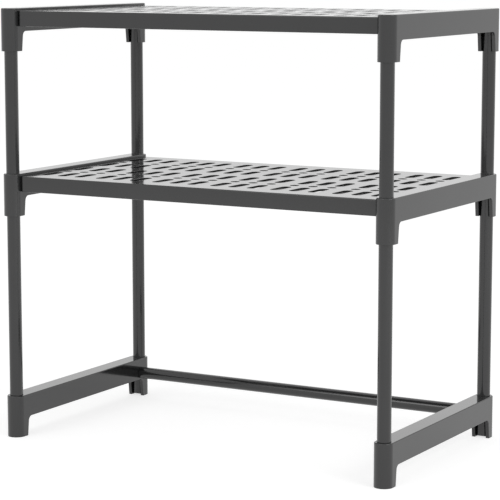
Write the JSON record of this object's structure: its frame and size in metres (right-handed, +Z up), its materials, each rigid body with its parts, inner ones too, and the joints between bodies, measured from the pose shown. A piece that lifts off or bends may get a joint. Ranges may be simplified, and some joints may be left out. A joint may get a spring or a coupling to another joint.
{
  "type": "microwave rack",
  "caption": "Freestanding open rack of steel tube posts, moulded side frames and slotted shelves; a microwave oven stands under the middle shelf.",
  "frame": {"origin": "on the counter, under the middle of the rack's outer box", "axes": "+X to the right across the rack's width, +Y from the front to the back, where the crossbar is, +Z up"},
  "size_m": [0.52, 0.3, 0.52],
  "materials": {
    "frame_plastic": "satin charcoal moulding",
    "shelf_plastic": "semi-gloss charcoal moulding",
    "post_steel": "satin charcoal powder coat",
    "crossbar_steel": "satin charcoal powder coat",
    "joiner_plastic": "matt black moulding"
  },
  "bodies": {
    "root": {"base_frame_left": "frame_plastic", "base_frame_right": "frame_plastic", "middle_frame_left": "frame_plastic", "middle_frame_right": "frame_plastic", "top_frame_left": "frame_plastic", "top_frame_right": "frame_plastic", "middle_shelf": "shelf_plastic", "top_shelf": "shelf_plastic", "lower_post_front_left": "post_steel", "lower_post_rear_left": "post_steel", "lower_post_front_right": "post_steel", "lower_post_rear_right": "post_steel", "upper_post_front_left": "post_steel", "upper_post_rear_left": "post_steel", "upper_post_front_right": "post_steel", "upper_post_rear_right": "post_steel", "rear_crossbar": "crossbar_steel", "post_joiner_front_left": "joiner_plastic", "post_joiner_rear_left": "joiner_plastic", "post_joiner_front_right": "joiner_plastic", "post_joiner_rear_right": "joiner_plastic"}
  },
  "joints": []
}
